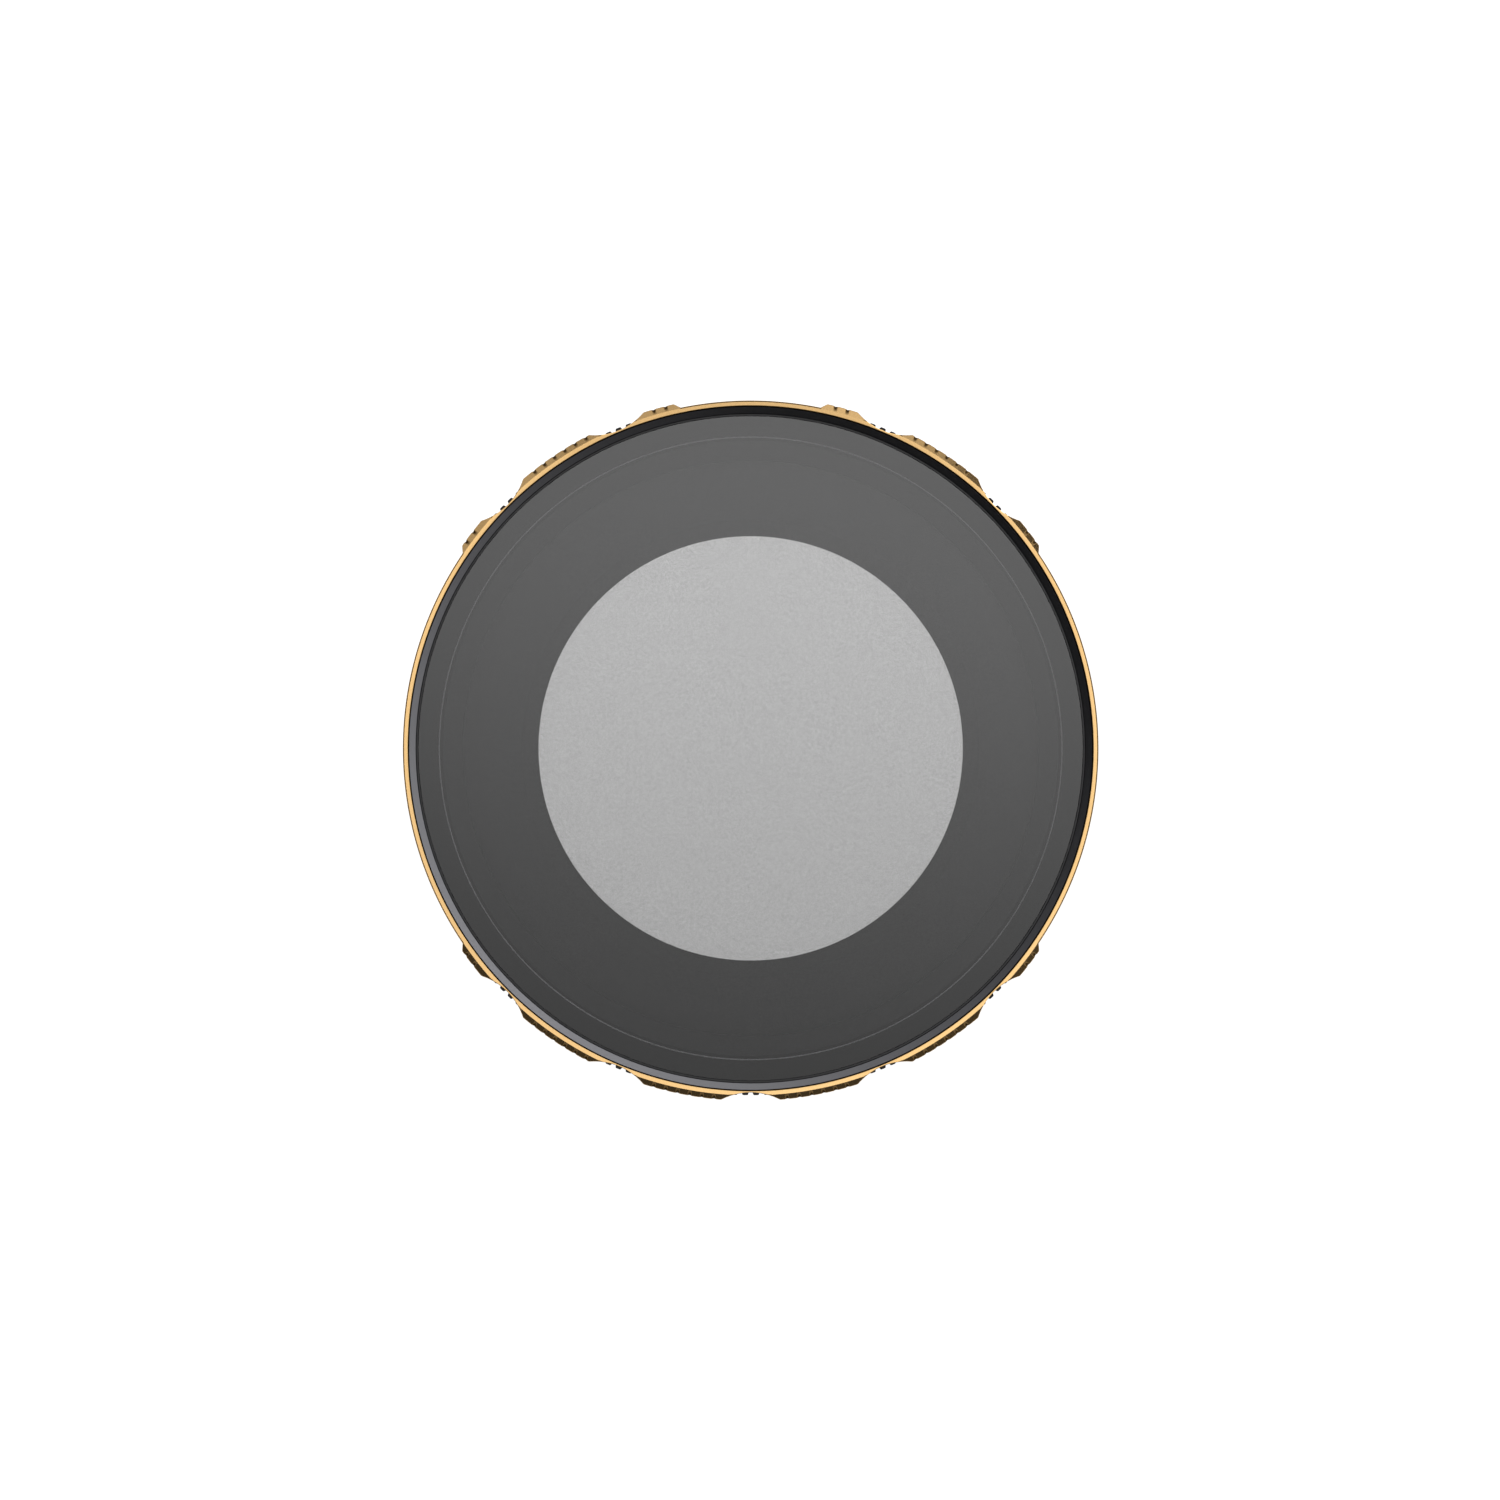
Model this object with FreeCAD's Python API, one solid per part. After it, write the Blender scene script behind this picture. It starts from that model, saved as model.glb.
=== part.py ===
import FreeCAD, Part
import math
import os

# A variable neutral-density filter for a phone, lying on its rear face with the optical axis along +Z.
# Lengths are in millimetres, angles in degrees. The origin is the centre of the rear face.
# Angles round the ring are clockwise from +Y, the top of the filter as it is looked at from the front.

# Radii, stepping outwards from the aperture
aperture_radius = 14.07
aperture_bevel = 1.06
seat_width = 3.91
retainer_wall = 0.29
thread_gap = 0.02
hub_wall = 0.65
journal_clearance = 0.05
retainer_overhang = 0.30
lip_clearance = 0.18
lip_width = 1.72
lip_chamfer = 0.08
glass_gap = 0.05
bezel_overlap = 0.32
bezel_land = 0.17
bezel_cone = 0.46
bezel_gap = 0.06
bond_gap = 0.02
scallop_wall = 0.10
scallop_depth = 0.24
lug_rise = 0.32
rim_chamfer = 0.055

# Heights, stepping forwards from the rear face
spigot_length = 2.8
flange_thickness = 2.6
seat_drop = 1.0
rear_glass_thickness = 0.6
front_glass_thickness = 0.7
film_thickness = 0.12
skirt_length = 1.16
retainer_thickness = 0.6
washer_thickness = 0.2
end_play = 0.05
air_gap = 0.5
bezel_land_height = 0.2
rim_step = 0.07
rim_dish = 0.026

# Grip pattern on the gold ring
scallop_count = 16
scallop_radius = 4.2
groove_pitch = 2.0
groove_depth = 0.2
groove_width = 0.3
groove_margin = 0.1
groove_land = 0.9
lug_chamfer_angle = 30.0
top_zone_half_angle = 11.6
side_zone_half_angle = 34.1
zone_ramp_angle = 1.0

# Fine knurl on the base flange
knurl_count = 200
knurl_setback = 0.01
knurl_depth = 0.5
knurl_width = 0.38

# Rear bayonet
spigot_wall = 3.33
tab_count = 3
tab_angle = 40.0
tab_reach = 1.8
tab_thickness = 1.0
tab_stop_angle = 6.0

# Washer, and the stop that ends the turn
washer_clearance = 0.1
washer_rim = 0.18
turn_range = 70.0
pin_radius = 0.5
pin_depth = 1.2
pin_engagement = 0.7
pin_head_room = 0.2
pin_angle = 180.0
slot_clearance = 0.1

# How far a cutting shape runs past the face that it cuts
cut_margin = 0.5

# Radii that follow from the steps
seat_inner_radius = aperture_radius + aperture_bevel
retainer_opening_radius = seat_inner_radius + seat_width
skirt_radius = retainer_opening_radius + retainer_wall
pocket_radius = skirt_radius + thread_gap
hub_radius = pocket_radius + hub_wall
journal_radius = hub_radius + journal_clearance
retainer_radius = journal_radius + retainer_overhang
lip_radius = retainer_radius + lip_clearance
front_glass_radius = lip_radius + lip_width
rear_glass_radius = pocket_radius - glass_gap
grip_bore_radius = front_glass_radius + glass_gap
frame_radius = grip_bore_radius - bond_gap
bezel_opening_radius = front_glass_radius - bezel_overlap
bezel_foot_radius = bezel_opening_radius + bezel_land
bezel_radius = bezel_foot_radius + bezel_cone
bezel_seat_radius = bezel_radius + bezel_gap
scallop_floor_radius = bezel_seat_radius + scallop_wall
grip_radius = scallop_floor_radius + scallop_depth
lug_radius = grip_radius + lug_rise
rim_radius = grip_radius - rim_chamfer
flange_radius = grip_radius - knurl_setback
spigot_radius = aperture_radius + spigot_wall
tab_radius = spigot_radius + tab_reach
pin_circle_radius = (journal_radius + frame_radius) / 2
slot_half_width = pin_radius + slot_clearance

# Heights that follow from the steps
flange_top = spigot_length + flange_thickness
seat_top = flange_top - seat_drop
rear_film_bottom = seat_top + rear_glass_thickness
rear_cover_bottom = rear_film_bottom + 2 * film_thickness
rear_stack_top = rear_cover_bottom + rear_glass_thickness
hub_top = rear_stack_top + skirt_length
retainer_top = hub_top + retainer_thickness
frame_bottom = flange_top + washer_thickness
ledge_top = hub_top - end_play
lip_top = retainer_top + air_gap
front_film_bottom = lip_top + front_glass_thickness
front_cover_bottom = front_film_bottom + film_thickness
front_stack_top = front_cover_bottom + front_glass_thickness
bezel_foot_top = front_stack_top + bezel_land_height
bezel_top = bezel_foot_top + bezel_cone
front_top = bezel_top + rim_step
pin_bottom = flange_top - pin_depth
pin_top = frame_bottom + pin_engagement
slot_top = pin_top + pin_head_room

axis_origin = FreeCAD.Vector(0, 0, 0)
axis_direction = FreeCAD.Vector(0, 0, 1)


def at(radius, angle, height):
    """The point at a radius and a clockwise angle from +Y."""
    turn = math.radians(angle)
    return FreeCAD.Vector(radius * math.sin(turn), radius * math.cos(turn), height)


def turned(section):
    """A full turn of a closed section, given as (radius, height) corners."""
    corners = [FreeCAD.Vector(radius, 0, height) for radius, height in section]
    outline = Part.makePolygon(corners + corners[:1])
    return Part.Face(outline).revolve(axis_origin, axis_direction, 360)


def disc(radius, bottom, thickness):
    """A plain round pane or sheet on the optical axis."""
    return Part.makeCylinder(radius, thickness, FreeCAD.Vector(0, 0, bottom))


def arc(radius, start, end, height):
    """An arc about the optical axis from one angle to another."""
    middle = (start + end) / 2
    return Part.Arc(at(radius, start, height), at(radius, middle, height), at(radius, end, height)).toShape()


def ring_sector(inner, outer, inner_angles, outer_angles, bottom, top):
    """A block between two radii, with its own start and end angle at each radius."""
    inner_start, inner_end = inner_angles
    outer_start, outer_end = outer_angles
    edges = [
        arc(inner, inner_start, inner_end, bottom),
        Part.makeLine(at(inner, inner_end, bottom), at(outer, outer_end, bottom)),
        arc(outer, outer_end, outer_start, bottom),
        Part.makeLine(at(outer, outer_start, bottom), at(inner, inner_start, bottom)),
    ]
    return Part.Face(Part.Wire(edges)).extrude(axis_direction * (top - bottom))


def angle_apart(first, second):
    """The smaller angle between two directions round the ring."""
    return abs((first - second + 180) % 360 - 180)


# Smooth zones of the grip ring as (centre, half angle): one at the top and one on each side
smooth_zones = [
    (0.0, top_zone_half_angle),
    (90.0, side_zone_half_angle),
    (270.0, side_zone_half_angle),
]


def in_smooth_zone(angle, margin):
    """Whether a direction lies in a smooth zone or within a margin of one."""
    return any(angle_apart(angle, centre) < half + margin for centre, half in smooth_zones)


def scallop_angles():
    """Centres of the finger scallops, left out where the ring is smooth."""
    pitch = 360 / scallop_count
    return [i * pitch for i in range(scallop_count) if not in_smooth_zone(i * pitch, 0)]


def groove_angles():
    """Centres of the V-grooves: those that fit whole on the top of a lug."""
    groove_half = math.degrees((groove_width / 2 + groove_margin) / lug_radius)
    centre_radius = scallop_floor_radius + scallop_radius
    cosine = (lug_radius**2 + centre_radius**2 - scallop_radius**2) / (2 * lug_radius * centre_radius)
    scallop_half = math.degrees(math.acos(cosine))
    angles = [i * groove_pitch for i in range(int(360 / groove_pitch))]
    scallops = scallop_angles()
    return [
        angle
        for angle in angles
        if not in_smooth_zone(angle, zone_ramp_angle + groove_half)
        and all(angle_apart(angle, centre) > scallop_half + groove_half for centre in scallops)
    ]


def groove_wedge(angle):
    """Cutter for one V-groove: full at the front face, and running out to nothing at its foot."""
    foot = frame_bottom + groove_land
    top = front_top + cut_margin
    outer = lug_radius + cut_margin
    tip_height = foot - (front_top - foot) * cut_margin / groove_depth
    growth = (top - tip_height) / (front_top - foot)
    half_angle = math.degrees(groove_width * growth / 2 / outer)
    tip = at(outer, angle, tip_height)
    root = at(outer - groove_depth * growth, angle, top)
    left = at(outer, angle - half_angle, top)
    right = at(outer, angle + half_angle, top)
    sides = [(root, left, right), (tip, left, root), (tip, root, right), (tip, right, left)]
    faces = [Part.Face(Part.makePolygon([*corners, corners[0]])) for corners in sides]
    return Part.Solid(Part.Shell(faces))


def grip_ring():
    """Gold ring: a turned blank, then scalloped, grooved and relieved to its smooth zones."""
    chamfer_height = (lug_radius - rim_radius) * math.tan(math.radians(lug_chamfer_angle))
    blank = turned([
        (grip_bore_radius, frame_bottom),
        (rim_radius, frame_bottom),
        (lug_radius, frame_bottom + chamfer_height),
        (lug_radius, front_top - chamfer_height),
        (rim_radius, front_top),
        (bezel_seat_radius, front_top - rim_dish),
        (bezel_seat_radius, front_stack_top),
        (grip_bore_radius, front_stack_top),
    ])
    low = frame_bottom - cut_margin
    high = front_top + cut_margin
    cutters = []
    for angle in scallop_angles():
        foot = at(scallop_floor_radius + scallop_radius, angle, low)
        cutters.append(Part.makeCylinder(scallop_radius, high - low, foot))
    # The grooves run out short of the rear edge, so the outline stays whole.
    for angle in groove_angles():
        cutters.append(groove_wedge(angle))
    outer = lug_radius + cut_margin
    outer_ramp = zone_ramp_angle * (outer - grip_radius) / lug_rise
    for centre, half in smooth_zones:
        inner_angles = (centre - half, centre + half)
        outer_angles = (centre - half - outer_ramp, centre + half + outer_ramp)
        cutters.append(ring_sector(grip_radius, outer, inner_angles, outer_angles, low, high))
    return blank.cut(cutters)


def front_bezel():
    """Black ring on the front glass, with a narrow land and a cone that opens to the rim."""
    return turned([
        (bezel_opening_radius, front_stack_top),
        (bezel_radius, front_stack_top),
        (bezel_radius, bezel_top),
        (bezel_foot_radius, bezel_foot_top),
        (bezel_opening_radius, bezel_foot_top),
    ])


def stop_slot():
    """Arc slot in the underside of the turning frame, as long as the turn, with round ends."""
    inner = pin_circle_radius - slot_half_width
    outer = pin_circle_radius + slot_half_width
    low = frame_bottom - cut_margin
    ends = (pin_angle, pin_angle + turn_range)
    slot = ring_sector(inner, outer, ends, ends, low, slot_top)
    for angle in ends:
        foot = at(pin_circle_radius, angle, low)
        slot = slot.fuse(Part.makeCylinder(slot_half_width, slot_top - low, foot))
    return slot.removeSplitter()


def front_frame():
    """Black ring that turns on the hub: journal, ledge under the retainer, and the glass lip."""
    body = turned([
        (journal_radius, frame_bottom),
        (frame_radius, frame_bottom),
        (frame_radius, lip_top),
        (lip_radius + lip_chamfer, lip_top),
        (lip_radius, lip_top - lip_chamfer),
        (lip_radius, ledge_top),
        (journal_radius, ledge_top),
    ])
    return body.cut(stop_slot())


def rear_retaining_ring():
    """Threaded skirt on the rear glass, with a flange that keeps the turning frame down."""
    return turned([
        (retainer_opening_radius, rear_stack_top),
        (skirt_radius, rear_stack_top),
        (skirt_radius, hub_top),
        (retainer_radius, hub_top),
        (retainer_radius, retainer_top),
        (retainer_opening_radius, retainer_top),
    ])


def glide_washer():
    """Thin washer between the flange and the turning frame, with a hole for the stop pin."""
    inner = hub_radius + washer_clearance
    outer = frame_radius - washer_rim
    washer = turned([
        (inner, flange_top),
        (outer, flange_top),
        (outer, frame_bottom),
        (inner, frame_bottom),
    ])
    hole = Part.makeCylinder(slot_half_width, washer_thickness, at(pin_circle_radius, pin_angle, flange_top))
    return washer.cut(hole)


def stop_pin():
    """Dowel pressed into the flange, standing up into the frame's slot."""
    return Part.makeCylinder(pin_radius, pin_top - pin_bottom, at(pin_circle_radius, pin_angle, pin_bottom))


def bayonet_tabs():
    """Locking tabs round the spigot, the first with a stop that ends the twist."""
    root = (aperture_radius + spigot_radius) / 2
    pitch = 360 / tab_count
    blocks = []
    for i in range(tab_count):
        span = (i * pitch, i * pitch + tab_angle)
        blocks.append(ring_sector(root, tab_radius, span, span, 0, tab_thickness))
    stop = (0, tab_stop_angle)
    blocks.append(ring_sector(root, tab_radius, stop, stop, 0, spigot_length))
    return blocks


def knurled_flange():
    """Flange with straight V-gaps and flat lands; the first gap lies at the top."""
    pitch = 360 / knurl_count
    half_gap = math.degrees(knurl_width / 2 / flange_radius)
    corners = []
    for i in range(knurl_count):
        corners.append(at(flange_radius, i * pitch - half_gap, spigot_length))
        corners.append(at(flange_radius - knurl_depth, i * pitch, spigot_length))
        corners.append(at(flange_radius, i * pitch + half_gap, spigot_length))
    outline = Part.makePolygon(corners + corners[:1])
    blank = Part.Face(outline).extrude(axis_direction * flange_thickness)
    return blank.cut(disc(hub_radius - hub_wall / 2, spigot_length, flange_thickness))


def mount_base():
    """Black body: spigot with its bayonet, knurled flange, hub and bevelled aperture."""
    core = turned([
        (aperture_radius, 0),
        (spigot_radius, 0),
        (spigot_radius, spigot_length),
        (hub_radius, spigot_length),
        (hub_radius, hub_top),
        (pocket_radius, hub_top),
        (pocket_radius, seat_top),
        (seat_inner_radius, seat_top),
        (aperture_radius, seat_top - aperture_bevel),
    ])
    body = core.fuse([knurled_flange()] + bayonet_tabs()).removeSplitter()
    hole_foot = at(pin_circle_radius, pin_angle, pin_bottom)
    hole = Part.makeCylinder(pin_radius + bond_gap, pin_depth + cut_margin, hole_foot)
    return body.cut(hole)


pieces = {
    "grip_ring": grip_ring(),
    "front_bezel": front_bezel(),
    "front_cover_glass": disc(front_glass_radius, front_cover_bottom, front_glass_thickness),
    "front_polarising_film": disc(front_glass_radius, front_film_bottom, film_thickness),
    "front_backing_glass": disc(front_glass_radius, lip_top, front_glass_thickness),
    "front_frame": front_frame(),
    "rear_retaining_ring": rear_retaining_ring(),
    "rear_cover_glass": disc(rear_glass_radius, rear_cover_bottom, rear_glass_thickness),
    "rear_polarising_film": disc(rear_glass_radius, rear_film_bottom + film_thickness, film_thickness),
    "rear_retarder_film": disc(rear_glass_radius, rear_film_bottom, film_thickness),
    "rear_backing_glass": disc(rear_glass_radius, seat_top, rear_glass_thickness),
    "glide_washer": glide_washer(),
    "stop_pin": stop_pin(),
    "mount_base": mount_base(),
}

os.makedirs("parts", exist_ok=True)
for name, shape in pieces.items():
    shape.exportStep(f"parts/{name}.step")
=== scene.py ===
import math

import bmesh
import bpy
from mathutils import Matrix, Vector


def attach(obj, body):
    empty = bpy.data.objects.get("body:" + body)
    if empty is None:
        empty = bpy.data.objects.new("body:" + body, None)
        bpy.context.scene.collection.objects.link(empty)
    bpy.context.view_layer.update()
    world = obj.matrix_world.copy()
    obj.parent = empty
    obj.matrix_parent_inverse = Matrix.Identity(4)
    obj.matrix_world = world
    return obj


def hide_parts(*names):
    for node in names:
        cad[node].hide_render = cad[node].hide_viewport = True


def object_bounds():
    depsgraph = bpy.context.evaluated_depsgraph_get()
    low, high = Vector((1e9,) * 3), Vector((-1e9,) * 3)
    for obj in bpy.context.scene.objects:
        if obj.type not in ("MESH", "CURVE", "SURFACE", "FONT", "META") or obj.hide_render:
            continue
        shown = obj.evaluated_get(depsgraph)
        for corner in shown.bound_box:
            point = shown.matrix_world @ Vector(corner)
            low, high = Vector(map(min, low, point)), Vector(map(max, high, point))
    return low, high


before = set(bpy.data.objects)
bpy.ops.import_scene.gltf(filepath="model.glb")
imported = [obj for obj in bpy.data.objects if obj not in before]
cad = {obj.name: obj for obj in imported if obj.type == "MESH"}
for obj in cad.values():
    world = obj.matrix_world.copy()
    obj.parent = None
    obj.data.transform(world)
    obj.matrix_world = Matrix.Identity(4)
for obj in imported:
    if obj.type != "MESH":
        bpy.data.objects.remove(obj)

cad_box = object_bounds()
scene = bpy.context.scene
MM = 0.001

# The photograph looks straight down the optical axis at the filter, which lies on its rear face.
# Angles round the filter are in degrees, clockwise from +Y, the top of the photograph.
# The filter's centre is in pixels from the top left corner of the photograph.
photo_size = 1500
filter_centre_px = (750.65, 748.35)
mm_per_px = 0.066
camera_distance = 2.0
sensor_width = 36.0
circle = 360.0

# How far machined edges are broken, in millimetres, how finely rounds are cut, and which edges stay crisp
edge_break = 0.03
round_steps = 240
smooth_angle = math.radians(12)

# Heights that two pieces share, in millimetres: the bezel sits in the grip ring, and the retaining ring
# on the hub of the base.
bezel_seat = 9.62
hub_top = 7.0

# Gold grip ring
grip = {
    "Columns": 2881,
    "Bore Radius": 22.30 * MM,
    "Seat Radius": 22.62 * MM,
    "Rim Radius": 22.905 * MM,
    "Smooth Radius": 22.96 * MM,
    "Lug Radius": 23.28 * MM,
    "Rear": 5.6 * MM,
    "Front": 10.35 * MM,
    "Seat Height": bezel_seat * MM,
    "Rim Dish": 0.026 * MM,
    "Chamfer Slope": math.tan(math.radians(30)),
    "Edge Break": edge_break * MM,
    "Blunt Chamfer": 0.06 * MM,
    "Crisp Chamfer": 0.12 * MM,
    "Scallop Pitch": 22.5,
    "Scallop Floor": 22.72 * MM,
    "Scallop Radius": 4.2 * MM,
    "Scallop Clearance": 5.42,
    "Top Zone": 11.6,
    "Side Zone": 34.1,
    "Side Zone Centre": 90.0,
    "Zone Ramp": 1.0,
    "Groove Pitch": 2.0,
    "Groove Depth": 0.20 * MM,
    "Groove Width": 0.30 * MM,
    "Groove Clearance": 1.62,
    "Groove Foot": 6.5 * MM,
    "Corner Blend": 0.05 * MM,
    "Out of Reach": 10 * MM,
}
groove_steps = (0.25, 0.5, 0.75)

# Black mount base
base = {
    "Columns": 2401,
    "Aperture Radius": 14.07 * MM,
    "Spigot Radius": 17.40 * MM,
    "Tab Radius": 19.20 * MM,
    "Flange Radius": 22.95 * MM,
    "Hub Radius": 20.00 * MM,
    "Pocket Radius": 19.35 * MM,
    "Seat Radius": 15.13 * MM,
    "Spigot Length": 2.8 * MM,
    "Tab Thickness": 1.0 * MM,
    "Flange Top": 5.4 * MM,
    "Hub Top": hub_top * MM,
    "Seat Top": 4.4 * MM,
    "Bevel": 1.06 * MM,
    "Edge Break": edge_break * MM,
    "Tab Pitch": 120.0,
    "Tab Angle": 40.0,
    "Stop Angle": 6.0,
    "Knurl Pitch": 1.8,
    "Knurl Depth": 0.50 * MM,
    "Knurl Width": 0.38 * MM,
}
# The grid's columns fall on the ends of the tabs, so the tabs are read a little further round, in degrees.
tab_shift = 0.01

# Turned pieces, in millimetres. The bezel's cone rises at 45 degrees from the level land to the gold rim.
bezel_opening = 21.93
bezel_cone_foot = 22.10
bezel_radius = 22.56
bezel_land = 9.82
bezel_top = bezel_land + bezel_radius - bezel_cone_foot
retainer_opening = 19.04
retainer_thread = 19.33
retainer_flange = 20.35
retainer_foot = 5.84
retainer_top = 7.6
front_glass_radius = 22.24
front_glass_span = (8.11, 9.61)
rear_glass_radius = 19.29
rear_glass_span = (4.41, 5.83)
# The frame lip's edge, from one radius to another, where the matt black gets a painted highlight line.
lip_highlight_radii = (20.53, 20.61)


def linear(hex_colour):
    """An sRGB hex colour as linear red, green, blue and alpha."""
    channels = [int(hex_colour[i:i + 2], 16) / 255 for i in (1, 3, 5)]
    return [c / 12.92 if c <= 0.04045 else ((c + 0.055) / 1.055) ** 2.4 for c in channels] + [1.0]


def add(tree, kind, *values, named=None, items=0, **settings):
    """Adds a node with its settings; values fill its inputs in order, and named ones by name."""
    made = tree.nodes.new(kind)
    for name, value in settings.items():
        setattr(made, name, value)
    for _ in range(items):
        made.index_switch_items.new()
    for key, value in [*enumerate(values), *(named or {}).items()]:
        if isinstance(value, bpy.types.Node):
            value = next(socket for socket in value.outputs if socket.enabled)
        if isinstance(value, bpy.types.NodeSocket):
            tree.links.new(value, made.inputs[key])
        elif value is not None:
            made.inputs[key].default_value = value
    return made


# Materials


def new_material(name):
    """A material with an empty tree, and its Object coordinates."""
    material = bpy.data.materials.new(name)
    material.use_nodes = True
    tree = material.node_tree
    tree.nodes.clear()
    return material, tree, add(tree, "ShaderNodeTexCoord").outputs["Object"]


def from_axis(tree, place):
    """How far a place is from the optical axis."""
    flat = add(tree, "ShaderNodeVectorMath", place, (1, 1, 0), operation="MULTIPLY")
    return add(tree, "ShaderNodeVectorMath", flat, operation="LENGTH").outputs["Value"]


def lathe_lines(tree, place, pitch):
    """Fine tool lines that circle the optical axis, a given pitch apart across a turned face."""
    height = add(tree, "ShaderNodeSeparateXYZ", place).outputs["Z"]
    track = add(tree, "ShaderNodeCombineXYZ", from_axis(tree, place), height)
    return add(tree, "ShaderNodeTexNoise", named={
        "Vector": track, "Scale": 1 / pitch, "Detail": 1.0,
    }, noise_dimensions="2D")


def gold_anodised_aluminium():
    # Turned, finely blasted and dyed: a warm satin metal with a faint sparkle and faint tool rings.
    # The blast grain is about 0.05 mm; it is drawn at 0.1 mm to show. The grooves and the bezel's seat are
    # drawn in painted shade: dark bronze, dull and not metallic, for the shade that falls in them.
    grain_width = 0.1 * MM
    drift_width = 7 * MM
    line_pitch = 0.06 * MM
    relief = 0.01 * MM
    material, tree, place = new_material("gold_anodised_aluminium")
    grain = add(tree, "ShaderNodeTexNoise", named={"Vector": place, "Scale": 1 / grain_width, "Detail": 2.0})
    drift = add(tree, "ShaderNodeTexNoise", named={"Vector": place, "Scale": 1 / drift_width, "Detail": 2.0})
    lines = lathe_lines(tree, place, line_pitch)
    # Painted shade: rows in the grooves and the bezel's seat turn dark bronze, dull and not metallic.
    painted_shade = add(tree, "ShaderNodeAttribute", attribute_name="painted_shade").outputs["Fac"]
    gilt = add(tree, "ShaderNodeMix", data_type="RGBA", named={
        "Factor": drift.outputs["Fac"], "A": linear("#cfa971"), "B": linear("#d6b17b"),
    })
    tone = add(tree, "ShaderNodeMix", data_type="RGBA", named={
        "Factor": painted_shade, "A": gilt, "B": linear("#523e22"),
    })
    satin = add(tree, "ShaderNodeMapRange", named={
        "Value": grain.outputs["Fac"], "From Min": 0.3, "From Max": 0.7, "To Min": 0.17, "To Max": 0.23,
    })
    dull = add(tree, "ShaderNodeMix", named={"Factor": painted_shade, "A": satin, "B": 0.8})
    shine = add(tree, "ShaderNodeMapRange", named={"Value": painted_shade, "To Min": 1.0, "To Max": 0.0})
    blast = add(tree, "ShaderNodeBump", named={
        "Height": grain.outputs["Fac"], "Strength": 0.08, "Distance": relief,
    })
    turned_face = add(tree, "ShaderNodeBump", named={
        "Height": lines.outputs["Fac"], "Strength": 0.10, "Distance": relief, "Normal": blast,
    })
    shader = add(tree, "ShaderNodeBsdfPrincipled", named={
        "Base Color": tone, "Metallic": shine, "Roughness": dull, "Specular IOR Level": 0.0,
        "Normal": turned_face,
    })
    add(tree, "ShaderNodeOutputMaterial", shader)
    return material


def black_anodised_aluminium(name, shades, satin, metallic, specular, painted_highlight_radii=None):
    # Turned, blasted and dyed black: dark and even, with a faint grain and faint tool rings.
    # The blast grain is about 0.06 mm; it is drawn at 0.12 mm to show. A painted highlight, a thin light grey
    # line from one radius to another, stands in for the glint on a cut edge.
    grain_width = 0.12 * MM
    line_pitch = 0.08 * MM
    relief = 0.01 * MM
    material, tree, place = new_material(name)
    grain = add(tree, "ShaderNodeTexNoise", named={"Vector": place, "Scale": 1 / grain_width, "Detail": 2.0})
    lines = lathe_lines(tree, place, line_pitch)
    tone = add(tree, "ShaderNodeMix", data_type="RGBA", named={
        "Factor": grain.outputs["Fac"], "A": linear(shades[0]), "B": linear(shades[1]),
    })
    # Painted highlight: a light grey ring between two radii, in place of an edge's glint.
    if painted_highlight_radii:
        middle = (painted_highlight_radii[0] + painted_highlight_radii[1]) / 2 * MM
        half_width = (painted_highlight_radii[1] - painted_highlight_radii[0]) / 2 * MM
        radius = from_axis(tree, place)
        painted_highlight = add(tree, "ShaderNodeMath", radius, middle, half_width, operation="COMPARE")
        tone = add(tree, "ShaderNodeMix", data_type="RGBA", named={
            "Factor": painted_highlight, "A": tone, "B": linear("#d0d0d4"),
        })
    dull = add(tree, "ShaderNodeMapRange", named={
        "Value": grain.outputs["Fac"], "From Min": 0.3, "From Max": 0.7,
        "To Min": satin[0], "To Max": satin[1],
    })
    turned_face = add(tree, "ShaderNodeBump", named={
        "Height": lines.outputs["Fac"], "Strength": 0.06, "Distance": relief,
    })
    shader = add(tree, "ShaderNodeBsdfPrincipled", named={
        "Base Color": tone, "Metallic": metallic, "Roughness": dull, "Specular IOR Level": specular,
        "Normal": turned_face,
    })
    add(tree, "ShaderNodeOutputMaterial", shader)
    return material


def laminated_polariser_glass(name, shades, mirror):
    # Two polished panes with a grey polarising sheet between, coated: grey to look through, under a soft
    # veil of reflection. The sheet takes its share of the light where the light enters the disc. Its
    # specks are far finer than 0.2 mm; they are drawn that coarse to show.
    speck_width = 0.2 * MM
    material, tree, place = new_material(name)
    speck = add(tree, "ShaderNodeTexNoise", named={"Vector": place, "Scale": 1 / speck_width, "Detail": 1.0})
    tint = add(tree, "ShaderNodeMix", data_type="RGBA", named={
        "Factor": speck.outputs["Fac"], "A": linear(shades[0]), "B": linear(shades[1]),
    })
    clear = add(tree, "ShaderNodeBsdfTransparent", tint)
    polish = add(tree, "ShaderNodeBsdfGlossy", named={"Roughness": 0.04})
    bare = add(tree, "ShaderNodeFresnel", named={"IOR": 1.52})
    coated = add(tree, "ShaderNodeMath", bare, mirror, operation="ADD", use_clamp=True)
    entering = add(tree, "ShaderNodeMixShader", coated, clear, polish)
    leaving = add(tree, "ShaderNodeBsdfTransparent")
    inside = add(tree, "ShaderNodeNewGeometry").outputs["Backfacing"]
    add(tree, "ShaderNodeOutputMaterial", add(tree, "ShaderNodeMixShader", inside, entering, leaving))
    return material


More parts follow.
